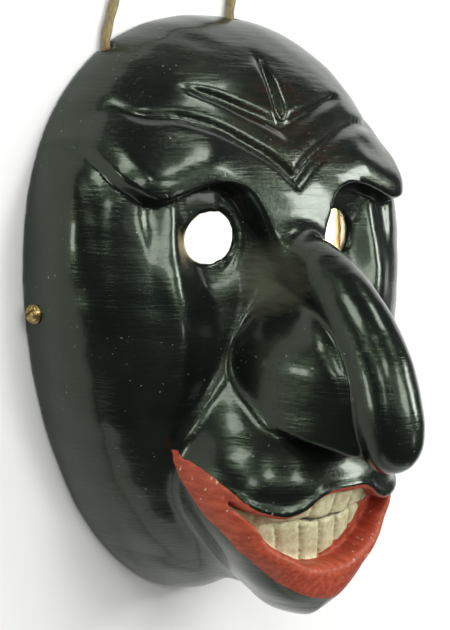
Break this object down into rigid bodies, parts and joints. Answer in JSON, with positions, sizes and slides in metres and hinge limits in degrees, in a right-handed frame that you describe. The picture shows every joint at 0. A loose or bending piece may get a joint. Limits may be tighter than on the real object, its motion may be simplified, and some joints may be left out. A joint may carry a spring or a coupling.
{
  "type": "carved face mask",
  "caption": "Hollow full-face mask carved in wood, with a heavy brow, a hooked nose, a jutting chin and a grinning mouth, and a hanging cord held by screws in its rim.",
  "frame": {"origin": "on the surface that the back of the rim lies on, under the middle of the mask's width and height", "axes": "+Z is the way the face looks, +Y runs up the face to the crown, +X is to the wearer's left"},
  "size_m": [0.1878, 0.2917, 0.1177],
  "materials": {
    "lacquered_wood": "black gloss lacquer brushed over carved wood, with red lips and ivory teeth",
    "brass": "dull, worn",
    "cord_hide": "matt tan hide, rolled"
  },
  "bodies": {
    "root": {"mask": "lacquered_wood", "screw_right": "brass", "screw_left": "brass", "cord": "cord_hide"}
  },
  "joints": []
}
